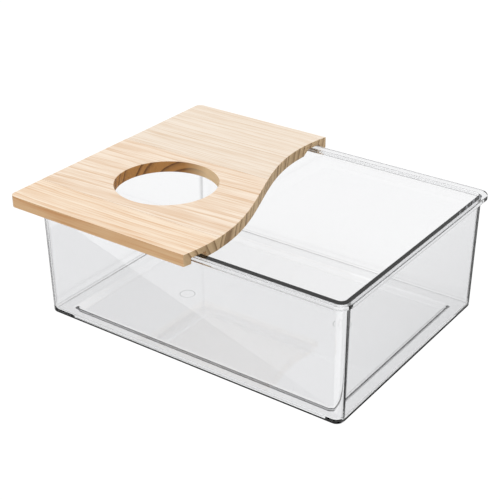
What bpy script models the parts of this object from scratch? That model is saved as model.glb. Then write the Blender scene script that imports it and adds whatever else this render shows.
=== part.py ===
"""Bath and digging box for a hamster's home: a clear moulded tub and a loose pine lid.

The lid covers the left half of the tub. It is three edge-glued staves, cut along one wave at its
free edge, with a round way in, and a groove in its underside drops over the tub's rim.
X runs along the tub's long side, Y to the back, Z up. The origin is on the ground, in the middle
of the whole box's footprint. Dimensions are in millimetres and the scene is in metres.
"""

import math

import bmesh
import bpy

MM = 0.001
GAP = 0.3  # between pieces that touch
ARC_STEPS = 6  # segments in a rounded corner

# Tub. Half sizes are (X, Y), measured from the tub's own middle.
TUB_MIDDLE_X = 5.5  # the lid overhangs on the left, so the tub stands right of the footprint's middle
RIM_TOP = 94.1
RIM_HALF = (128.6, 100.0)
RIM_THICK = 3.6
RIM_CORNER = 10.0
RIM_EDGE = 0.5
WALL_TOP_HALF = (124.6, 95.0)
WALL_FOOT_HALF = (123.9, 93.4)
WALL_CORNER = 6.0
WALL_THICK = 2.2
WALL_FOOT = 3.8  # the walls' lower edge stands this far off the ground
FOOT_EDGE = 1.8
FLOOR_THICK = 2.2
FLOOR_FILLET = 2.4
SUNK_HALF = (111.2, 80.7)  # outside of the floor's sunk middle, which the box stands on
SUNK_CORNER = 3.0
SUNK_DRAFT = 1.5
SUNK_INNER_CORNER = 2.0

# Lid. X and Y are measured from the tub's middle.
LID_THICK = 8.6
LID_HALF_Y = 108.3
LID_LEFT = -139.6
LID_CORNER = 5.0
WAVE_MIDDLE_X = -0.7
WAVE_HEIGHT = 19.0
WAVE_LENGTH = 306.3
WAVE_STEP = 6.0
HOLE_MIDDLE = (-63.5, -28.6)
HOLE_RADIUS = 37.4
HOLE_STEPS = 64
GLUE_LINES_Y = (-76.0, 17.0)
GROOVE_DEPTH = 4.2
GROOVE_CLEARANCE = 2.0  # between the rim's edge and the lip outside it
BLOCK_CLEARANCE = 3.8  # between the tub's wall and the full-thickness middle of the lid
BLOCK_CORNER = 6.0
BACK_LEAD_IN = 6.0  # the groove's inner wall leans this far inwards at the back

ROOF_Z = RIM_TOP + GAP
LID_BOTTOM = ROOF_Z - GROOVE_DEPTH
LID_TOP = LID_BOTTOM + LID_THICK


def clear_scene():
    for obj in list(bpy.data.objects):
        bpy.data.objects.remove(obj, do_unlink=True)


def material(name, colour, roughness, metallic=0.0, transmission=0.0, alpha=1.0):
    made = bpy.data.materials.new(name)
    made.use_nodes = True
    shader = made.node_tree.nodes["Principled BSDF"]
    shader.inputs["Base Color"].default_value = (*colour, 1.0)
    shader.inputs["Roughness"].default_value = roughness
    shader.inputs["Metallic"].default_value = metallic
    shader.inputs["Transmission Weight"].default_value = transmission
    shader.inputs["Alpha"].default_value = alpha
    made.diffuse_color = (*colour, alpha)
    return made


def add_object(name, mesh, finish, parent=None):
    obj = bpy.data.objects.new(name, mesh)
    bpy.context.collection.objects.link(obj)
    if finish:
        mesh.materials.append(finish)
    obj.parent = parent
    return obj


def mesh_of(name, work):
    """Turns a bmesh in millimetres into a mesh in metres with its faces pointing out."""
    bmesh.ops.recalc_face_normals(work, faces=work.faces)
    bmesh.ops.scale(work, vec=(MM, MM, MM), verts=work.verts)
    mesh = bpy.data.meshes.new(name)
    work.to_mesh(mesh)
    work.free()
    return mesh


def corner(middle, radius, start, turn=90.0):
    """Points of a rounded corner, from the start angle through the turn, in degrees."""
    angles = [math.radians(start + turn * i / ARC_STEPS) for i in range(ARC_STEPS + 1)]
    return [(middle[0] + radius * math.cos(a), middle[1] + radius * math.sin(a)) for a in angles]


def rounded_rectangle(half, radius):
    """A rounded rectangle about the tub's middle, anticlockwise from its right side."""
    points = []
    for quarter, (sx, sy) in enumerate(((1, 1), (-1, 1), (-1, -1), (1, -1))):
        middle = (sx * (half[0] - radius), sy * (half[1] - radius))
        points += corner(middle, radius, 90.0 * quarter)
    return points


def shrunk(half, by):
    return (half[0] - by, half[1] - by)


def quarter_round(radius, steps, start):
    """(along, up) offsets of a quarter circle's points, from the start angle in degrees."""
    angles = [math.radians(start + 90.0 * i / steps) for i in range(steps + 1)]
    return [(radius * math.cos(a), radius * math.sin(a)) for a in angles]


def tub_section():
    """(half sizes, corner radius, height) of each loop, round the section from underside to floor."""
    loops = [
        (shrunk(SUNK_HALF, SUNK_DRAFT), SUNK_CORNER, 0.0),
        (SUNK_HALF, SUNK_CORNER, WALL_FOOT),
    ]
    for along, up in quarter_round(FOOT_EDGE, 3, -90.0):
        half = shrunk(WALL_FOOT_HALF, FOOT_EDGE - along)
        loops.append((half, WALL_CORNER - FOOT_EDGE + along, WALL_FOOT + FOOT_EDGE + up))
    loops += [
        (WALL_TOP_HALF, WALL_CORNER, RIM_TOP - RIM_THICK),
        (shrunk(RIM_HALF, RIM_EDGE), RIM_CORNER - RIM_EDGE, RIM_TOP - RIM_THICK),
        (RIM_HALF, RIM_CORNER, RIM_TOP - RIM_THICK + RIM_EDGE),
        (RIM_HALF, RIM_CORNER, RIM_TOP - RIM_EDGE),
        (shrunk(RIM_HALF, RIM_EDGE), RIM_CORNER - RIM_EDGE, RIM_TOP),
        (shrunk(WALL_TOP_HALF, WALL_THICK), WALL_CORNER - WALL_THICK, RIM_TOP),
    ]
    ledge = WALL_FOOT + FLOOR_THICK
    for along, up in quarter_round(FLOOR_FILLET, 3, 0.0):
        half = shrunk(WALL_FOOT_HALF, WALL_THICK + FLOOR_FILLET - along)
        loops.append((half, WALL_CORNER - WALL_THICK - FLOOR_FILLET + along, ledge + FLOOR_FILLET - up))
    loops += [
        (shrunk(SUNK_HALF, WALL_THICK), SUNK_INNER_CORNER, ledge),
        (shrunk(SUNK_HALF, WALL_THICK + SUNK_DRAFT), SUNK_INNER_CORNER, FLOOR_THICK),
    ]
    return loops


def make_tub(finish):
    """The open tub, as one closed wall: its section's loops bridged in turn, and capped twice."""
    work = bmesh.new()
    rings = []
    for half, radius, height in tub_section():
        outline = rounded_rectangle(half, radius)
        rings.append([work.verts.new((x + TUB_MIDDLE_X, y, height)) for x, y in outline])
    count = len(rings[0])
    for low, high in zip(rings, rings[1:]):
        for i in range(count):
            j = (i + 1) % count
            work.faces.new((low[i], low[j], high[j], high[i]))
    work.faces.new(rings[0][::-1])
    work.faces.new(rings[-1])
    mesh = mesh_of("tub", work)
    mesh.shade_smooth()
    mesh.set_sharp_from_angle(angle=math.radians(35.0))
    return add_object("tub", mesh, finish)


def wave_x(y):
    """The lid's free edge: one sine wave, bulging over the tub at the front and back at the rear."""
    return WAVE_MIDDLE_X - WAVE_HEIGHT * math.sin(2 * math.pi * y / WAVE_LENGTH)


def stave_outline(front, back):
    """The plan of the lid between two depths, anticlockwise from the front of its wave."""
    steps = max(2, round((back - front) / WAVE_STEP))
    depths = [front + (back - front) * i / steps for i in range(steps + 1)]
    outline = [(wave_x(y), y) for y in depths]
    if back == LID_HALF_Y:
        outline += corner((LID_LEFT + LID_CORNER, back - LID_CORNER), LID_CORNER, 90.0)
    else:
        outline.append((LID_LEFT, back))
    if front == -LID_HALF_Y:
        outline += corner((LID_LEFT + LID_CORNER, front + LID_CORNER), LID_CORNER, 180.0)
    else:
        outline.append((LID_LEFT, front))
    return outline


def prism(name, low_outline, high_outline, bottom, top):
    """A closed prism between two plans with the same number of points."""
    work = bmesh.new()
    low = [work.verts.new((x + TUB_MIDDLE_X, y, bottom)) for x, y in low_outline]
    high = [work.verts.new((x + TUB_MIDDLE_X, y, top)) for x, y in high_outline]
    for i in range(len(low)):
        j = (i + 1) % len(low)
        work.faces.new((low[i], low[j], high[j], high[i]))
    work.faces.new(low[::-1])
    work.faces.new(high)
    return mesh_of(name, work)


def groove_outline(back_wall):
    """The plan of the groove: a U, open to the right, round the lid's full-thickness middle."""
    far = 60.0  # past the wave
    lip = (RIM_HALF[0] + GROOVE_CLEARANCE, RIM_HALF[1] + GROOVE_CLEARANCE)
    left_lip = LID_LEFT + (LID_HALF_Y - lip[1])  # the lip is as wide on the left as at the front
    block_left = -(WALL_TOP_HALF[0] - WALL_THICK - BLOCK_CLEARANCE)
    block_front = -(WALL_TOP_HALF[1] - WALL_THICK - BLOCK_CLEARANCE)
    outer, inner = RIM_CORNER + GROOVE_CLEARANCE, BLOCK_CORNER
    outline = [(far, lip[1])]
    outline += corner((left_lip + outer, lip[1] - outer), outer, 90.0)
    outline += corner((left_lip + outer, -lip[1] + outer), outer, 180.0)
    outline += [(far, -lip[1]), (far, block_front)]
    outline += corner((block_left + inner, block_front + inner), inner, 270.0, -90.0)
    outline += corner((block_left + inner, back_wall - inner), inner, 180.0, -90.0)
    outline.append((far, back_wall))
    return outline


def cutter(name, mesh):
    obj = add_object(name, mesh, None)
    obj.hide_render = True
    obj.display_type = "WIRE"
    return obj


def groove_cutter():
    """Cuts the groove from below. Its inner wall leans in at the back, as a lead-in for the rim."""
    below = 3.0
    back_wall = WALL_TOP_HALF[1] - WALL_THICK - BLOCK_CLEARANCE
    lean = BACK_LEAD_IN * (GROOVE_DEPTH + below) / GROOVE_DEPTH
    mesh = prism(
        "groove_cutter",
        groove_outline(back_wall - lean),
        groove_outline(back_wall),
        LID_BOTTOM - below,
        ROOF_Z,
    )
    return cutter("groove_cutter", mesh)


def hole_cutter():
    past = 5.0
    work = bmesh.new()
    bmesh.ops.create_cone(
        work,
        cap_ends=True,
        segments=HOLE_STEPS,
        radius1=HOLE_RADIUS,
        radius2=HOLE_RADIUS,
        depth=LID_THICK + 2 * past,
    )
    middle = (HOLE_MIDDLE[0] + TUB_MIDDLE_X, HOLE_MIDDLE[1], LID_BOTTOM + LID_THICK / 2)
    bmesh.ops.translate(work, vec=middle, verts=work.verts)
    return cutter("hole_cutter", mesh_of("hole_cutter", work))


def cut(obj, tool):
    modifier = obj.modifiers.new(tool.name, "BOOLEAN")
    modifier.operation = "DIFFERENCE"
    modifier.solver = "EXACT"
    modifier.object = tool


def make_lid(finishes):
    """The three staves, on one empty that stands where the lid rests on the rim."""
    seat = bpy.data.objects.new("lid_seat", None)
    seat.location = (TUB_MIDDLE_X * MM, 0.0, ROOF_Z * MM)
    bpy.context.collection.objects.link(seat)
    groove, hole = groove_cutter(), hole_cutter()
    edges = (-LID_HALF_Y, *GLUE_LINES_Y, LID_HALF_Y)
    names = ("lid_front_stave", "lid_middle_stave", "lid_back_stave")
    for name, finish, front, back in zip(names, finishes, edges, edges[1:]):
        front += GAP / 2 if front != -LID_HALF_Y else 0.0
        back -= GAP / 2 if back != LID_HALF_Y else 0.0
        outline = stave_outline(front, back)
        stave = add_object(name, prism(name, outline, outline, LID_BOTTOM, LID_TOP), finish, seat)
        stave.matrix_parent_inverse = seat.matrix_basis.inverted()
        cut(stave, groove)
        if front < HOLE_MIDDLE[1] < back:
            cut(stave, hole)


def main():
    clear_scene()
    clear = material("clear_plastic", (0.93, 0.95, 0.96), 0.04, transmission=0.9, alpha=0.35)
    pines = [
        material("pine_front", (0.83, 0.63, 0.42), 0.6),
        material("pine_middle", (0.86, 0.68, 0.48), 0.6),
        material("pine_back", (0.85, 0.68, 0.51), 0.6),
    ]
    make_tub(clear)
    make_lid(pines)


main()
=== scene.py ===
"""Looks of the hamster's bath box: a clear moulded tub and its wave-cut pine lid.

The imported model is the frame. Each of its four nodes is replaced by a finer piece of the same size:
the tub by a moulding with rounded edges, and each stave of the lid by one with eased edges and
its own grain. Dimensions are in millimetres from the tub's middle, on the ground, unless they say
otherwise. X runs along the tub's long side, Y to the back and Z up.
"""

import math

import bmesh
import bpy
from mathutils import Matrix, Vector


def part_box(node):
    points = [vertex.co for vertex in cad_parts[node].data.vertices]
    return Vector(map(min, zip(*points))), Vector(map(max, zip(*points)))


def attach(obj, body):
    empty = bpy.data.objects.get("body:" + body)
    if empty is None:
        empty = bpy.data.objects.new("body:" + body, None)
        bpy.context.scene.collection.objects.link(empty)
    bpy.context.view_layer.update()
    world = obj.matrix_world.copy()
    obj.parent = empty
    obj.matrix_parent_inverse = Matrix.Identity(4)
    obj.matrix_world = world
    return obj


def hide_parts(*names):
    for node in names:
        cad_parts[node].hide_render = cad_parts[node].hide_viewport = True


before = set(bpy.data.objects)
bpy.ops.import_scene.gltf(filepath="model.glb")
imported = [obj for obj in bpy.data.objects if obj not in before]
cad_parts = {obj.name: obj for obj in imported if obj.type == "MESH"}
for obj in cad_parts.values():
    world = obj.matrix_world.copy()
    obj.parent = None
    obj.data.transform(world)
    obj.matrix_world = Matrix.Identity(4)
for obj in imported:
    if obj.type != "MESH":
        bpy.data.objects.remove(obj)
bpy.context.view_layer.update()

MM = 0.001

# Places taken from the frame.
tub_low, tub_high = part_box("tub")
lid_low, lid_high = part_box("lid_front_stave")
TUB_MIDDLE_X = (tub_low.x + tub_high.x) / 2 / MM
RIM_TOP = tub_high.z / MM
RIM_HALF = ((tub_high.x - tub_low.x) / 2 / MM, (tub_high.y - tub_low.y) / 2 / MM)
LID_BOTTOM, LID_TOP = lid_low.z / MM, lid_high.z / MM
LID_LEFT = lid_low.x / MM - TUB_MIDDLE_X
LID_HALF_Y = -lid_low.y / MM

# Tub, as in the CAD.
RIM_THICK = 3.6
RIM_CORNER = 10.0
WALL_TOP_HALF = (124.6, 95.0)
WALL_FOOT_HALF = (123.9, 93.4)
WALL_CORNER = 6.0
WALL_THICK = 2.2
WALL_FOOT = 3.8
FLOOR_THICK = 2.2
SUNK_HALF = (111.2, 80.7)
SUNK_DRAFT = 1.5

# Heights and places worked out from them. The ledge is the floor's upper band, next to the walls.
FLANGE = RIM_TOP - RIM_THICK
LEDGE = WALL_FOOT + FLOOR_THICK
INNER_CORNER = WALL_CORNER - WALL_THICK
CORNER_X, CORNER_Y = (half - WALL_CORNER for half in WALL_FOOT_HALF)

# Finer edges than the CAD's: the radii of the tub's roundings.
FOOT_EDGE = 1.8
FLANGE_ROOT = 0.5
RIM_UNDER_EDGE = 0.9
RIM_TOP_EDGE = 0.6
FLOOR_FILLET = 2.4
STEP_EDGE = 1.6
STEP_FOOT_EDGE = 2.0
CORNER_STEPS = 16
SECTION_STEPS = 5
TUB_SHARP_FROM = 32.0

# The sunk floor's plan radii, from its flat to the ledge, and how far in its flats begin.
SUNK_CORNERS_UNDER = (1.6, 2.6, 3.0)
SUNK_CORNERS_ON_TOP = (1.0, 1.6, 2.0)
FLAT_UNDER = 2.0
FLAT_ON_TOP = 6.0
FLAT_BY_FOOT = 0.7

# Painted shade along the walls' foot, standing in for the shadow under the tub: its height above
# the rounded edge, its fade, how dark it is round a corner and at the far sides, and how many of a
# corner's points take the full tone off.
PAINTED_SHADE_RISE = 0.4
PAINTED_SHADE_FADE = 0.2
PAINTED_SHADE_LEAST = 0.4
PAINTED_SHADE_TURN_STEPS = 2.0
PAINTED_SHADE_SLACK = 0.1
PAINTED_SHADE_RIGHT_TOP = (7.0, 7.3)

# Ejector marks: shallow round dents in the tub's floor.
EJECTOR_MARKS = ((-59.0, -13.0), (58.5, 16.5))
EJECTOR_RADIUS = 5.9
EJECTOR_DEPTH = 0.1
EJECTOR_SLOPE = 0.5
EJECTOR_STEPS = 48

# Lid, as in the CAD.
LID_CORNER = 5.0
WAVE_MIDDLE_X = -0.7
WAVE_HEIGHT = 19.0
WAVE_LENGTH = 306.3
WAVE_STEP = 2.0
LID_CORNER_STEPS = 10
HOLE_MIDDLE = (-63.5, -28.6)
HOLE_RADIUS = 37.4
HOLE_STEPS = 144
GLUE_LINES_Y = (-76.0, 17.0)
GLUE_LINE = 0.12
ROOF_Z = RIM_TOP + 0.3
GROOVE_CLEARANCE = 2.0
BLOCK_CLEARANCE = 3.8
BLOCK_CORNER = 6.0
GROOVE_STEPS = 12
BLOCK_STEPS = 10
CUTTER_END_X = 60.0
CUTTER_SPARE = 3.0
BACK_LEAD_IN = 6.0
EASED_EDGE = 0.45
EASED_STEPS = 3
EASED_FROM = 30.0

# Camera, in metres and degrees.
CAMERA_PLACE = (0.4299, -0.6139, 0.4456)
CAMERA_TURN = (62.16, 0.0, 35.35)
CAMERA_LENS = 84.48
SENSOR = 36.0

# Light. The tub's dark edges are partly paths that run out of bounces.
WORLD_LIGHT = 0.7
LIGHT_BOUNCES = 60
GLOSS_BOUNCES = 8
OVERHEAD_PLACE = (0.0, 0.1, 1.4)
OVERHEAD_SIZE = 2.0
OVERHEAD_POWER = 10.7
PAPER_SIZE = 8.0
PAPER_DROP = 0.0002
PAPER_GREY = 0.06
PAPER_GLOW = 0.99

# Cards on the floor that only show as gloss on the tub: plan corners in millimetres from the
# tub's middle, height, and brightness at their left and right ends.
GLOSS_CARDS = {
    "front_near": (
        ((-211.7, -200.8), (141.0, -98.6), (124.0, -97.0), (-230.0, -97.0)), 3.8, 0.0, 0.0
    ),
    "front_far": (
        ((-211.7, -200.8), (141.0, -98.6), (174.4, -253.9), (-178.3, -356.1)), 3.8, 1.6, 0.3
    ),
    "right": (((128.0, -94.0), (330.0, -94.0), (400.0, 300.0), (128.0, 300.0)), 3.8, 0.2, 1.4),
    "front_corner": (
        ((120.0, -105.0), (45.0, -290.0), (178.0, -330.0), (330.0, -230.0), (133.0, -100.0)),
        4.5, 1.2, 5.5
    ),
    "back_corner": (((121.0, 96.0), (60.0, 270.0), (150.0, 280.0), (127.0, 96.0)), 3.0, 0.0, 0.0),
}

# Black frame of card under the foot edge, a painted shadow for the shade under the tub, and how far
# it reaches out and in from the edge.
UNDER_CARD_OUT = 4.0
UNDER_CARD_IN = 11.0
UNDER_CARD_Z = 0.3


def corner(middle, radius, start, turn, steps):
    angles = [math.radians(start + turn * i / steps) for i in range(steps + 1)]
    return [(middle[0] + radius * math.cos(a), middle[1] + radius * math.sin(a)) for a in angles]


def rounded_rectangle(half_x, half_y, radius, steps=CORNER_STEPS):
    """A rounded rectangle about the tub's middle, anticlockwise from its right side."""
    points = []
    for quarter, (sx, sy) in enumerate(((1, 1), (-1, 1), (-1, -1), (1, -1))):
        middle = (sx * (half_x - radius), sy * (half_y - radius))
        points += corner(middle, radius, 90.0 * quarter, 90.0, steps)
    return points


def place(x, y, z):
    """A point in millimetres from the tub's middle, as a point of the frame."""
    return Vector((x + TUB_MIDDLE_X, y, z)) * MM


def finish_mesh(name, work, sharp_from, body, node):
    """Turns a bmesh into a smooth piece that rides on a body and stands for a node."""
    bmesh.ops.recalc_face_normals(work, faces=work.faces)
    mesh = bpy.data.meshes.new(name)
    work.to_mesh(mesh)
    work.free()
    mesh.shade_smooth()
    mesh.set_sharp_from_angle(angle=math.radians(sharp_from))
    piece = bpy.data.objects.new(name, mesh)
    bpy.context.collection.objects.link(piece)
    weighted = piece.modifiers.new("weighted_normals", "WEIGHTED_NORMAL")
    weighted.keep_sharp = True
    weighted.weight = 100
    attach(piece, body)
    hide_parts(node)
    return piece


# ---------------------------------------------------------------- tub


def rounded_section(points, steps):
    """Rounds a section's corners. A point is (half X, half Y, plan radius, Z, rounding)."""
    out = []
    last = len(points) - 1
    for i, (*here, rounding) in enumerate(points):
        here = Vector(here)
        if i in (0, last) or not rounding:
            out.append(here)
            continue
        before = Vector(points[i - 1][:4]) - here
        after = Vector(points[i + 1][:4]) - here
        flat_before = Vector((before[0], before[3]))
        flat_after = Vector((after[0], after[3]))
        turn = math.pi - flat_before.angle(flat_after)
        reach = rounding * math.tan(turn / 2)
        a = before * (reach / flat_before.length)
        b = after * (reach / flat_after.length)
        spread = math.sin(turn)
        for k in range(steps + 1):
            angle = turn * k / steps
            along = rounding * (math.tan(turn / 2) - math.sin(angle))
            rise = rounding * (1 - math.cos(angle))
            share_b = rise / spread / reach
            share_a = (along + rise / math.tan(turn)) / reach if abs(turn) > 1e-6 else 0.0
            out.append(here + a * share_a + b * share_b)
    return out


def shrunk(half, by, radius, z, rounding):
    return (half[0] - by, half[1] - by, radius, z, rounding)


def on_wall(z):
    """The wall's outer face at a height, as a section point."""
    share = (z - WALL_FOOT) / (FLANGE - WALL_FOOT)
    half = [foot + (top - foot) * share for foot, top in zip(WALL_FOOT_HALF, WALL_TOP_HALF)]
    return shrunk(half, 0.0, WALL_CORNER, z, 0)


def tub_section():
    """The tub's section, from the middle of its underside round to the middle of its floor."""
    flat_under, step_foot, step_top = SUNK_CORNERS_UNDER
    flat_on_top, inner_foot, inner_top = SUNK_CORNERS_ON_TOP
    beside_foot = FOOT_EDGE + FLAT_BY_FOOT
    # The loops just above the foot edge bound the painted shade along the foot.
    painted_shade_top = WALL_FOOT + FOOT_EDGE + PAINTED_SHADE_RISE
    points = [
        shrunk(SUNK_HALF, SUNK_DRAFT + FLAT_UNDER, flat_under, 0.0, 0),
        shrunk(SUNK_HALF, SUNK_DRAFT, step_foot, 0.0, STEP_FOOT_EDGE),
        shrunk(SUNK_HALF, 0.0, step_top, WALL_FOOT, STEP_EDGE),
        shrunk(WALL_FOOT_HALF, beside_foot, WALL_CORNER - beside_foot, WALL_FOOT, 0),
        shrunk(WALL_FOOT_HALF, 0.0, WALL_CORNER, WALL_FOOT, FOOT_EDGE),
        on_wall(painted_shade_top),
        on_wall(painted_shade_top + PAINTED_SHADE_FADE),
        shrunk(WALL_TOP_HALF, 0.0, WALL_CORNER, FLANGE, FLANGE_ROOT),
        shrunk(RIM_HALF, 0.0, RIM_CORNER, FLANGE, RIM_UNDER_EDGE),
        shrunk(RIM_HALF, 0.0, RIM_CORNER, RIM_TOP, RIM_TOP_EDGE),
        shrunk(WALL_TOP_HALF, WALL_THICK, INNER_CORNER, RIM_TOP, RIM_TOP_EDGE),
        shrunk(WALL_FOOT_HALF, WALL_THICK, INNER_CORNER, LEDGE, FLOOR_FILLET),
        shrunk(SUNK_HALF, WALL_THICK, inner_top, LEDGE, STEP_EDGE),
        shrunk(SUNK_HALF, WALL_THICK + SUNK_DRAFT, inner_foot, FLOOR_THICK, STEP_EDGE),
        shrunk(SUNK_HALF, WALL_THICK + FLAT_ON_TOP, flat_on_top, FLOOR_THICK, 0),
    ]
    return rounded_section(points, SECTION_STEPS)


def foot_painted_shade():
    """How much painted shade each point of a loop round the foot takes, in the order of
    rounded_rectangle.

    The front and right edges are dark between their corners, and the rest is lighter.
    """
    shares = []
    for dark_start, dark_end in ((1, 0), (0, 0), (0, 1), (1, 1)):
        for step in range(CORNER_STEPS + 1):
            at_start = dark_start * (1.0 - step / PAINTED_SHADE_TURN_STEPS)
            at_end = dark_end * (1.0 - (CORNER_STEPS - step) / PAINTED_SHADE_TURN_STEPS)
            shares.append(max(at_start, at_end, PAINTED_SHADE_LEAST))
    return shares


def add_ejector_mark(work, x, y):
    """Adds one dent to the floor, and returns the edges round its top."""
    circles = []
    for inset, z in ((0.0, FLOOR_THICK), (EJECTOR_SLOPE, FLOOR_THICK - EJECTOR_DEPTH)):
        ring = corner((x, y), EJECTOR_RADIUS - inset, 0.0, 360.0, EJECTOR_STEPS)[:-1]
        circles.append([work.verts.new(place(px, py, z)) for px, py in ring])
    top, low = circles
    edges = []
    for i in range(EJECTOR_STEPS):
        j = (i + 1) % EJECTOR_STEPS
        work.faces.new((top[i], top[j], low[j], low[i]))
        edges.append(work.edges.get((top[i], top[j])))
    work.faces.new(low)
    return edges


def make_tub():
    work = bmesh.new()
    # Loops round the foot carry their share of painted shade as an attribute.
    painted_shade = work.verts.layers.float.new("painted_shade")
    painted_shade_to = WALL_FOOT + FOOT_EDGE + PAINTED_SHADE_RISE + PAINTED_SHADE_SLACK
    painted_shade_from_x = WALL_FOOT_HALF[0] - FOOT_EDGE - PAINTED_SHADE_SLACK
    rings = []
    outside = True
    for half_x, half_y, radius, z in tub_section():
        outline = rounded_rectangle(half_x, half_y, radius)
        rings.append([work.verts.new(place(x, y, z)) for x, y in outline])
        outside = outside and z < painted_shade_to
        if outside and half_x > painted_shade_from_x:
            for vert, share in zip(rings[-1], foot_painted_shade()):
                vert[painted_shade] = share
    count = len(rings[0])
    for low, high in zip(rings, rings[1:]):
        for i in range(count):
            j = (i + 1) % count
            work.faces.new((low[i], low[j], high[j], high[i]))
    work.faces.new(rings[0][::-1])
    floor_edges = [work.edges.get((rings[-1][i], rings[-1][(i + 1) % count])) for i in range(count)]
    for x, y in EJECTOR_MARKS:
        floor_edges += add_ejector_mark(work, x, y)
    bmesh.ops.triangle_fill(work, use_beauty=True, edges=floor_edges)
    return finish_mesh("clear_tub", work, TUB_SHARP_FROM, "tub", "tub")


# ---------------------------------------------------------------- lid


def wave_x(y):
    return WAVE_MIDDLE_X - WAVE_HEIGHT * math.sin(2 * math.pi * y / WAVE_LENGTH)


def stave_outline(front, back):
    """The plan of the lid between two depths, anticlockwise from the front of its wave."""
    steps = round((back - front) / WAVE_STEP)
    depths = [front + (back - front) * i / steps for i in range(steps + 1)]
    outline = [(wave_x(y), y) for y in depths]
    if back == LID_HALF_Y:
        middle = (LID_LEFT + LID_CORNER, back - LID_CORNER)
        outline += corner(middle, LID_CORNER, 90.0, 90.0, LID_CORNER_STEPS)
    else:
        outline.append((LID_LEFT, back))
    if front == -LID_HALF_Y:
        middle = (LID_LEFT + LID_CORNER, front + LID_CORNER)
        outline += corner(middle, LID_CORNER, 180.0, 90.0, LID_CORNER_STEPS)
    else:
        outline.append((LID_LEFT, front))
    return outline


def prism(low_outline, high_outline, bottom, top):
    """A closed prism between two plans with the same number of points, as an object."""
    work = bmesh.new()
    low = [work.verts.new(place(x, y, bottom)) for x, y in low_outline]
    high = [work.verts.new(place(x, y, top)) for x, y in high_outline]
    for i in range(len(low)):
        j = (i + 1) % len(low)
        work.faces.new((low[i], low[j], high[j], high[i]))
    work.faces.new(low[::-1])
    work.faces.new(high)
    bmesh.ops.recalc_face_normals(work, faces=work.faces)
    mesh = bpy.data.meshes.new("prism")
    work.to_mesh(mesh)
    work.free()
    made = bpy.data.objects.new("prism", mesh)
    bpy.context.collection.objects.link(made)
    return made


def groove_outline(back_wall):
    """The plan of the groove: a U, open to the right, round the lid's full-thickness middle."""
    lip = RIM_HALF[1] + GROOVE_CLEARANCE
    left_lip = LID_LEFT + (LID_HALF_Y - lip)
    block_left, block_front = (
        -(half - WALL_THICK - BLOCK_CLEARANCE) for half in WALL_TOP_HALF
    )
    outer, inner = RIM_CORNER + GROOVE_CLEARANCE, BLOCK_CORNER
    outline = [(CUTTER_END_X, lip)]
    outline += corner((left_lip + outer, lip - outer), outer, 90.0, 90.0, GROOVE_STEPS)
    outline += corner((left_lip + outer, -lip + outer), outer, 180.0, 90.0, GROOVE_STEPS)
    outline += [(CUTTER_END_X, -lip), (CUTTER_END_X, block_front)]
    middles = ((block_left + inner, block_front + inner), (block_left + inner, back_wall - inner))
    for middle, start in zip(middles, (270.0, 180.0)):
        outline += corner(middle, inner, start, -90.0, BLOCK_STEPS)
    outline.append((CUTTER_END_X, back_wall))
    return outline


def groove_cutter():
    back_wall = WALL_TOP_HALF[1] - WALL_THICK - BLOCK_CLEARANCE
    depth = ROOF_Z - LID_BOTTOM
    lean = BACK_LEAD_IN * (depth + CUTTER_SPARE) / depth
    low, high = groove_outline(back_wall - lean), groove_outline(back_wall)
    return prism(low, high, LID_BOTTOM - CUTTER_SPARE, ROOF_Z)


def hole_cutter():
    circle = corner(HOLE_MIDDLE, HOLE_RADIUS, 0.0, 360.0, HOLE_STEPS)[:-1]
    return prism(circle, circle, LID_BOTTOM - CUTTER_SPARE, LID_TOP + CUTTER_SPARE)


def cut(solid, cutters):
    """The solid's mesh with the cutters taken out of it, as a bmesh."""
    for cutter in cutters:
        modifier = solid.modifiers.new("cut", "BOOLEAN")
        modifier.operation = "DIFFERENCE"
        modifier.solver = "EXACT"
        modifier.object = cutter
    bpy.context.view_layer.update()
    evaluated = solid.evaluated_get(bpy.context.evaluated_depsgraph_get())
    work = bmesh.new()
    work.from_mesh(evaluated.to_mesh())
    evaluated.to_mesh_clear()
    bpy.data.objects.remove(solid)
    return work


def ease_edges(work, front, back):
    """Rounds every corner of the board except those of its glued faces."""
    glued = [y * MM for y in (front, back) if abs(y) != LID_HALF_Y]

    def on_glue(vert):
        return any(abs(vert.co.y - y) < 1e-6 for y in glued)

    edges = []
    for edge in work.edges:
        turned = len(edge.link_faces) == 2 and edge.calc_face_angle(0.0) > math.radians(EASED_FROM)
        if turned and not all(on_glue(v) for v in edge.verts):
            edges.append(edge)
    bmesh.ops.bevel(
        work,
        geom=edges,
        offset=EASED_EDGE * MM,
        offset_type="OFFSET",
        segments=EASED_STEPS,
        profile=0.5,
        affect="EDGES",
        clamp_overlap=True,
    )


def make_lid():
    groove, hole = groove_cutter(), hole_cutter()
    edges = (-LID_HALF_Y, *GLUE_LINES_Y, LID_HALF_Y)
    names = ("front", "middle", "back")
    staves = []
    for name, front, back in zip(names, edges, edges[1:]):
        front += GLUE_LINE / 2 if front != -LID_HALF_Y else 0.0
        back -= GLUE_LINE / 2 if back != LID_HALF_Y else 0.0
        outline = stave_outline(front, back)
        cutters = [groove, hole] if front < HOLE_MIDDLE[1] < back else [groove]
        work = cut(prism(outline, outline, LID_BOTTOM, LID_TOP), cutters)
        ease_edges(work, front, back)
        stave = finish_mesh(f"pine_{name}_stave", work, EASED_FROM, "lid", f"lid_{name}_stave")
        staves.append(stave)
    bpy.data.objects.remove(groove)
    bpy.data.objects.remove(hole)
    return staves


# ---------------------------------------------------------------- materials


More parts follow.
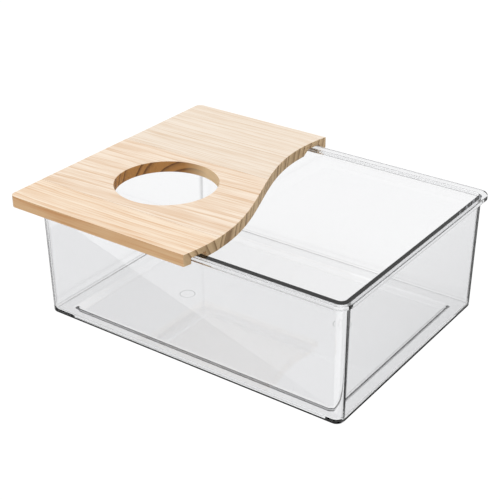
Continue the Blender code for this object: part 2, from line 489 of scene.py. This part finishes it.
class Graph:
    """Short ways to add nodes to a material."""

    def __init__(self, name):
        self.material = bpy.data.materials.new(name)
        self.material.use_nodes = True
        self.tree = self.material.node_tree
        self.shader = self.tree.nodes["Principled BSDF"]
        self.output = self.tree.nodes["Material Output"]

    def set(self, socket, value):
        if isinstance(value, bpy.types.NodeSocket):
            self.tree.links.new(value, socket)
        else:
            socket.default_value = value

    def add(self, kind, inputs=None, **settings):
        node = self.tree.nodes.new(kind)
        for key, value in settings.items():
            setattr(node, key, value)
        for key, value in (inputs or {}).items():
            self.set(node.inputs[key], value)
        return node

    def math(self, operation, *values, clamp=False):
        node = self.add("ShaderNodeMath", operation=operation, use_clamp=clamp)
        for socket, value in zip(node.inputs, values):
            self.set(socket, value)
        return node.outputs[0]

    def vector(self, x, y, z):
        return self.add("ShaderNodeCombineXYZ", {0: x, 1: y, 2: z}).outputs[0]

    def noise(self, vector, detail=2.0, rough=0.5):
        inputs = {"Vector": vector, "Scale": 1.0, "Detail": detail, "Roughness": rough}
        return self.add("ShaderNodeTexNoise", inputs).outputs[0]

    def map(self, value, low, high, to_low, to_high, smooth=False):
        node = self.add(
            "ShaderNodeMapRange",
            {0: value, 1: low, 2: high, 3: to_low, 4: to_high},
            interpolation_type="SMOOTHSTEP" if smooth else "LINEAR",
        )
        return node.outputs[0]

    def product(self, first, *others):
        for other in others:
            first = self.math("MULTIPLY", first, other)
        return first

    def length(self, a, b):
        return self.math("SQRT", self.math("ADD", self.product(a, a), self.product(b, b)))

    def mix(self, share, a, b, blend="MIX"):
        node = self.add("ShaderNodeMix", data_type="RGBA", blend_type=blend)
        node.clamp_factor = True
        for socket, value in zip((node.inputs[0], node.inputs[6], node.inputs[7]), (share, a, b)):
            self.set(socket, value)
        return node.outputs[2]

    def ramp(self, value, stops):
        node = self.add("ShaderNodeValToRGB", {0: value})
        elements = node.color_ramp.elements
        while len(elements) < len(stops):
            elements.new(0.5)
        for element, (at, level) in zip(elements, stops):
            element.position = at
            element.color = (level, level, level, 1.0)
        return node.outputs[0]


def srgb(red, green, blue):
    """A colour given in 0-255 screen values, as linear RGBA."""
    out = []
    for value in (red, green, blue):
        v = value / 255.0
        out.append(v / 12.92 if v <= 0.04045 else ((v + 0.055) / 1.055) ** 2.4)
    return (*out, 1.0)


# Each stave's wood. Pith: Y and Z of the tree's middle, in millimetres from the lid's top. Slope:
# the grain's rise in plan. Ring: the width of a year.
PINES = {
    "front": dict(
        pith=(-150.0, -30.0), slope=0.01, ring=7.6, seed=3.1,
        pale=(250, 233, 211), late=(216, 163, 106),
    ),
    "middle": dict(
        pith=(52.0, -45.0), slope=0.055, ring=8.0, seed=11.7,
        pale=(249, 234, 216), late=(212, 165, 114),
    ),
    "back": dict(
        pith=(-150.0, 60.0), slope=0.0, ring=7.0, seed=23.4,
        pale=(245, 233, 218), late=(216, 184, 148),
    ),
}
END_PALE = (214, 184, 142)
END_LATE = (120, 84, 46)
# The way in's wall: its end grain made darker and warmer by painted shade and bounce light, and
# painted light on its right part over the given X span from the hole's middle.
HOLE_SHADED_PALE = (192, 136, 74)
HOLE_SHADED_LATE = (92, 54, 22)
HOLE_PAINTED_LIGHT = (250, 218, 172)
HOLE_PAINTED_LIGHT_X = (-12.0, 8.0)
# The boards' sides: a warmer, darker tone, partly their own and partly painted shade against the lit
# top.
SIDE_TONE_AND_SHADE = (222, 201, 169)

# Share of late wood through a year's ring, and how far the rings sway, ripple and vary in width.
LATE_WOOD = ((0.0, 0.6), (0.06, 0.0), (0.40, 0.04), (0.74, 0.42), (0.92, 1.0))
SWAY = 7.0
RIPPLE = 1.1
UNEVEN_YEARS = 2.4
WOOD_IOR = 1.45
WOOD_BUMP = 0.00008


def year_rings(g, across, up, wander, pith, ring, seed):
    """The share of late wood at each point, and a random value for each year."""
    side = g.math("ADD", g.math("SUBTRACT", across, pith[0]), wander)
    radius = g.length(side, g.math("SUBTRACT", up, pith[1]))
    uneven = g.noise(g.vector(g.math("MULTIPLY_ADD", radius, 0.09, seed), 0.0, 0.0), 1.0)
    year = g.math("ADD", g.math("DIVIDE", radius, ring), g.product(uneven, UNEVEN_YEARS))
    band = g.ramp(g.math("FRACT", year), LATE_WOOD)
    each = g.add("ShaderNodeTexWhiteNoise", {"W": g.math("FLOOR", year)}, noise_dimensions="1D")
    return band, each.outputs[0]


def hole_wall(g, position, end_band):
    """The share of a point in the way in's wall, and that wall's colour: end grain with painted
    shade, and painted light at its right.
    """
    x, y, _ = g.add("ShaderNodeSeparateXYZ", {0: position}).outputs
    from_x = g.math("MULTIPLY_ADD", x, 1 / MM, -TUB_MIDDLE_X - HOLE_MIDDLE[0])
    from_y = g.math("MULTIPLY_ADD", y, 1 / MM, -HOLE_MIDDLE[1])
    share = g.map(g.length(from_x, from_y), HOLE_RADIUS + 0.8, HOLE_RADIUS + 0.3, 0.0, 1.0)
    colour = g.mix(end_band, srgb(*HOLE_SHADED_PALE), srgb(*HOLE_SHADED_LATE))
    return share, g.mix(g.map(from_x, *HOLE_PAINTED_LIGHT_X, 0.0, 0.9), colour, srgb(*HOLE_PAINTED_LIGHT))


def pine(name, pith, slope, ring, seed, pale, late):
    """Sanded pine as one solid texture, so that its end grain meets the streaks on top."""
    g = Graph(f"pine_{name}_wood")
    coordinates = g.add("ShaderNodeTexCoord").outputs
    turned = g.add(
        "ShaderNodeMapping",
        {
            "Vector": coordinates["Object"],
            "Scale": (1 / MM, 1 / MM, 1 / MM),
            "Rotation": (0.0, 0.0, -math.atan(slope)),
            "Location": (-TUB_MIDDLE_X, 0.0, -LID_TOP),
        },
    )
    along, across, up = g.add("ShaderNodeSeparateXYZ", {0: turned.outputs[0]}).outputs

    def stretched(per_along, per_across, shift=0.0):
        x = g.math("MULTIPLY_ADD", along, per_along, seed + shift)
        return g.vector(x, g.product(across, per_across), g.product(up, per_across))

    sway = g.map(g.noise(stretched(0.006, 0.012)), 0.0, 1.0, -SWAY, SWAY)
    ripple = g.map(g.noise(stretched(0.03, 0.09, 5.0)), 0.0, 1.0, -RIPPLE, RIPPLE)
    wander = g.math("ADD", sway, ripple)
    band, each_year = year_rings(g, across, up, wander, pith, ring, seed)
    strength = g.map(each_year, 0.0, 1.0, 0.25, 1.0)
    along_fade = g.map(g.noise(stretched(0.018, 0.05, 41.0)), 0.3, 0.7, 0.45, 1.15)
    streak = g.product(band, strength, along_fade)
    fibre = g.noise(stretched(0.03, 2.2, 9.0), 3.0, 0.6)
    hair = g.noise(stretched(0.016, 0.75, 31.0), 3.0, 0.6)
    patch = g.noise(stretched(0.014, 0.07, 17.0), 2.0)

    late_colour, end_late = srgb(*late), srgb(*END_LATE)
    top = g.mix(g.product(streak, 0.75), srgb(*pale), late_colour)
    top = g.mix(g.map(hair, 0.47, 0.74, 0.0, 0.75), top, late_colour)
    top = g.mix(g.map(fibre, 0.35, 0.75, 0.0, 0.22), top, late_colour)
    top = g.mix(g.map(patch, 0.5, 0.8, 0.0, 0.3), top, late_colour)

    end_band = g.product(band, g.map(each_year, 0.0, 1.0, 0.55, 1.0))
    ends = g.mix(end_band, srgb(*END_PALE), end_late)
    ends = g.mix(g.map(fibre, 0.4, 0.8, 0.0, 0.25), ends, end_late)
    in_hole, hole = hole_wall(g, coordinates["Object"], end_band)

    normal = g.add("ShaderNodeSeparateXYZ", {0: coordinates["Normal"]})
    n_along, _, n_up = (g.math("ABSOLUTE", n) for n in normal.outputs)
    on_side = g.map(n_up, 0.3, 0.9, 1.0, 0.0, True)
    # The sides take their warmer tone with painted shade.
    colour = g.mix(on_side, top, g.mix(1.0, top, srgb(*SIDE_TONE_AND_SHADE), "MULTIPLY"))
    colour = g.mix(g.map(n_along, 0.15, 0.8, 0.0, 1.0, True), colour, ends)
    # The way in's wall takes its painted shade and light.
    colour = g.mix(g.product(in_hole, on_side), colour, hole)
    g.set(g.shader.inputs["Base Color"], colour)
    g.set(g.shader.inputs["Roughness"], g.map(fibre, 0.3, 0.7, 0.5, 0.66))
    g.shader.inputs["IOR"].default_value = WOOD_IOR
    height = g.math("ADD", g.product(fibre, 0.6), g.product(band, 0.5))
    bump = g.add("ShaderNodeBump", {"Strength": 0.35, "Distance": WOOD_BUMP, "Height": height})
    g.set(g.shader.inputs["Normal"], bump.outputs[0])
    return g.material


CLEAR = (0.91, 0.912, 0.918, 1.0)
WHITE = (1.0, 1.0, 1.0, 1.0)
BLACK_FOR_SHADE_AND_MARKS = (0.0, 0.0, 0.0, 1.0)
SMOKE = (0.84, 0.845, 0.86, 1.0)
SMOKE_DENSITY = 30.0
PLASTIC_IOR = 1.5
MOULD_BUMP = 0.0002

# Painted shade on the upright corners: where it begins and is full, in millimetres past the start of
# the corner; how much the corner turns from the eye there; and how dark it gets, at the right and the
# left.
UPRIGHT_SIDE = (-0.8, 0.4)
UPRIGHT_BACK = (-4.5, -1.0)
UPRIGHT_FOOT = (0.8, 1.8)
UPRIGHT_FACING = (0.31, 0.5)
UPRIGHT_DARK = 0.989
UPRIGHT_LEFT = 0.75
FOOT_FACING = (0.05, 0.28)
EJECTOR_GREY = 0.5


def upright_shade(g, x, y, z, facing):
    """Painted shade on the tub's upright corners, where they turn away from the eye."""
    past_x = g.math("SUBTRACT", g.math("ABSOLUTE", x), CORNER_X)
    past_y = g.math("SUBTRACT", g.math("ABSOLUTE", y), CORNER_Y)
    at_back = g.map(y, *(CORNER_Y + past for past in UPRIGHT_BACK), 0.0, 1.0)
    at_front = g.map(y, *(-CORNER_Y - past for past in UPRIGHT_SIDE), 0.0, 1.0)
    outer = g.map(g.length(past_x, past_y), INNER_CORNER + 0.3, INNER_CORNER + 0.8, 0.0, 1.0)
    fillet_top = LEDGE + FLOOR_FILLET
    above_fillet = g.map(z, fillet_top + 0.1, fillet_top + 1.1, 0.0, 1.0)
    return g.product(
        g.map(past_x, *UPRIGHT_SIDE, 0.0, 1.0),
        g.math("MAXIMUM", at_back, at_front),
        g.math("MAXIMUM", outer, above_fillet),
        g.map(z, *(WALL_FOOT + rise for rise in UPRIGHT_FOOT), 0.0, 1.0),
        g.map(z, FLANGE - 0.5, FLANGE, 1.0, 0.0),
        g.map(x, -WALL_FOOT_HALF[0] - TUB_MIDDLE_X, -TUB_MIDDLE_X, UPRIGHT_LEFT, 1.0),
        g.map(facing, *UPRIGHT_FACING, 0.0, UPRIGHT_DARK),
    )


def foot_shade(g, x, y, z, facing):
    """Painted shade on the walls' foot edge, for the shadow under the tub. It reaches higher on the
    right wall.
    """
    on_right = g.product(
        g.map(x, WALL_FOOT_HALF[0] - 0.6, WALL_FOOT_HALF[0] - 0.2, 0.0, 1.0),
        g.map(g.math("ABSOLUTE", y), CORNER_Y - 0.5, CORNER_Y + 0.5, 1.0, 0.0),
        g.map(z, *PAINTED_SHADE_RIGHT_TOP, 1.0, 0.0),
    )
    # The painted shade along the foot, read from the loops.
    painted_shade = g.add("ShaderNodeAttribute", attribute_name="painted_shade").outputs["Fac"]
    return g.product(g.math("MAXIMUM", painted_shade, on_right), g.map(facing, *FOOT_FACING, 0.0, 1.0))


def ejector_shade(g, x, y, z):
    """Darkness of the rings round the ejector marks."""
    marks = 0.0
    for mark_x, mark_y in EJECTOR_MARKS:
        reach = g.length(g.math("SUBTRACT", x, mark_x), g.math("SUBTRACT", y, mark_y))
        off_ring = g.math("ABSOLUTE", g.math("SUBTRACT", reach, EJECTOR_RADIUS - 0.3))
        marks = g.math("ADD", marks, g.map(off_ring, 0.1, 0.6, EJECTOR_GREY, 0.0))
    return g.product(marks, g.map(z, 1.0, 1.5, 0.0, 1.0))


def front_step_painted_light(g, x, y, z):
    """The share of a point in the floor's step at the front, where painted light whitens the
    plastic's tint.
    """
    past_x, past_y = (
        g.math("SUBTRACT", g.math("ABSOLUTE", at), half - 2.0) for at, half in zip((x, y), SUNK_HALF)
    )
    off_step = g.math("ABSOLUTE", g.math("MAXIMUM", past_x, past_y))
    return g.product(
        g.map(off_step, 2.0, 3.5, 1.0, 0.0),
        g.map(z, LEDGE + 1.0, LEDGE + 3.0, 1.0, 0.0),
        g.map(y, -70.0, -40.0, 1.0, 0.0),
    )


def clear_plastic():
    """Water-clear styrene: nearly smooth, with the faint ripple of a moulding.

    Its foot edge and upright corners carry painted shade, black where they turn from the eye, for
    dark reflections and the shadow under the tub. The front step carries painted light. The ejector
    marks' rims are grey, and the plastic greys with the light's path.
    """
    g = Graph("clear_styrene")
    coordinates = g.add("ShaderNodeTexCoord").outputs["Object"]
    in_mm = g.add("ShaderNodeVectorMath", {0: coordinates, 1: (1 / MM,) * 3}, operation="MULTIPLY")
    slow = g.add("ShaderNodeVectorMath", {0: in_mm.outputs[0], 1: (0.03,) * 3}, operation="MULTIPLY")
    flow = g.noise(slow.outputs[0], 1.0)
    frame_x, y, z = g.add("ShaderNodeSeparateXYZ", {0: in_mm.outputs[0]}).outputs
    x = g.math("SUBTRACT", frame_x, TUB_MIDDLE_X)
    facing = g.add("ShaderNodeLayerWeight", {"Blend": 0.5}).outputs["Facing"]

    # Painted shade on the foot edge and the upright corners.
    edges = g.math("MAXIMUM", upright_shade(g, x, y, z, facing), foot_shade(g, x, y, z, facing))
    dark = g.math("MAXIMUM", edges, ejector_shade(g, x, y, z))
    # Painted light: the front step's tint is whitened.
    clear = g.mix(front_step_painted_light(g, x, y, z), CLEAR, WHITE)
    shader = g.shader
    # Black gives the painted shade on the edges and greys the ejector marks' rims.
    g.set(shader.inputs["Base Color"], g.mix(dark, clear, BLACK_FOR_SHADE_AND_MARKS))
    shader.inputs["Transmission Weight"].default_value = 1.0
    shader.inputs["IOR"].default_value = PLASTIC_IOR
    shader.inputs["Roughness"].default_value = 0.0
    bump = g.add("ShaderNodeBump", {"Strength": 0.1, "Distance": MOULD_BUMP, "Height": flow})
    g.set(shader.inputs["Normal"], bump.outputs[0])
    absorb = g.add("ShaderNodeVolumeAbsorption", {"Color": SMOKE, "Density": SMOKE_DENSITY})
    g.set(g.output.inputs["Volume"], absorb.outputs[0])
    return g.material


# ---------------------------------------------------------------- studio


def add_overhead():
    light = bpy.data.lights.new("overhead", "AREA")
    light.shape = "RECTANGLE"
    light.size = light.size_y = OVERHEAD_SIZE
    light.energy = OVERHEAD_POWER
    made = bpy.data.objects.new("overhead", light)
    bpy.context.collection.objects.link(made)
    made.location = OVERHEAD_PLACE
    made.rotation_euler = (-Vector(OVERHEAD_PLACE)).to_track_quat("-Z", "Y").to_euler()


def add_card(name, points, faces, left, right):
    """A flat card that only reflections see, with its brightness running from left to right."""
    mesh = bpy.data.meshes.new(f"studio_card_{name}")
    mesh.from_pydata(points, [], [list(face) for face in faces])
    card = bpy.data.objects.new(f"studio_card_{name}", mesh)
    bpy.context.collection.objects.link(card)
    card.visible_camera = card.visible_diffuse = False
    card.visible_transmission = card.visible_shadow = False
    g = Graph(f"studio_card_{name}_light")
    g.shader.inputs["Base Color"].default_value = (0.0, 0.0, 0.0, 1.0)
    g.shader.inputs["Specular IOR Level"].default_value = 0.0
    g.shader.inputs["Emission Color"].default_value = WHITE
    position = g.add("ShaderNodeTexCoord").outputs["Object"]
    x = g.add("ShaderNodeSeparateXYZ", {0: position}).outputs[0]
    low, high = min(p.x for p in points), max(p.x for p in points)
    g.set(g.shader.inputs["Emission Strength"], g.map(x, low, high, left, right))
    mesh.materials.append(g.material)


def add_cards():
    for name, (corners, z, left, right) in GLOSS_CARDS.items():
        add_card(name, [place(x, y, z) for x, y in corners], [range(len(corners))], left, right)
    # A black frame of card under the foot edge: a painted shadow, seen only in reflections.
    ring = []
    for grow in (UNDER_CARD_OUT, -UNDER_CARD_IN):
        half_x, half_y = (half + grow for half in WALL_FOOT_HALF)
        ring += [(half_x, half_y), (-half_x, half_y), (-half_x, -half_y), (half_x, -half_y)]
    sides = [(i, (i + 1) % 4, (i + 1) % 4 + 4, i + 4) for i in range(4)]
    add_card("shadow_under_edge", [place(x, y, UNDER_CARD_Z) for x, y in ring], sides, 0.0, 0.0)


def add_floor():
    bpy.ops.mesh.primitive_plane_add(size=PAPER_SIZE, location=(0.0, 0.0, -PAPER_DROP))
    floor = bpy.context.object
    floor.name = "studio_floor"
    g = Graph("studio_floor_paper")
    g.shader.inputs["Base Color"].default_value = (PAPER_GREY, PAPER_GREY, PAPER_GREY, 1.0)
    g.shader.inputs["Roughness"].default_value = 0.9
    g.shader.inputs["Specular IOR Level"].default_value = 0.0
    g.shader.inputs["Emission Color"].default_value = WHITE
    g.shader.inputs["Emission Strength"].default_value = PAPER_GLOW
    floor.data.materials.append(g.material)


def add_camera():
    camera = bpy.data.objects.new("camera", bpy.data.cameras.new("camera"))
    bpy.context.collection.objects.link(camera)
    camera.location = CAMERA_PLACE
    camera.rotation_euler = [math.radians(a) for a in CAMERA_TURN]
    camera.data.lens = CAMERA_LENS
    camera.data.sensor_width = SENSOR
    bpy.context.scene.camera = camera


def make_studio():
    scene = bpy.context.scene
    scene.view_settings.view_transform = "Standard"
    scene.cycles.max_bounces = LIGHT_BOUNCES
    scene.cycles.transmission_bounces = LIGHT_BOUNCES
    scene.cycles.glossy_bounces = GLOSS_BOUNCES
    world = bpy.data.worlds.new("studio")
    world.use_nodes = True
    background = world.node_tree.nodes["Background"]
    background.inputs["Color"].default_value = WHITE
    background.inputs["Strength"].default_value = WORLD_LIGHT
    scene.world = world
    add_floor()
    add_cards()
    add_overhead()
    add_camera()


tub = make_tub()
tub.data.materials.append(clear_plastic())
for stave, (key, look) in zip(make_lid(), PINES.items()):
    stave.data.materials.append(pine(key, **look))
make_studio()
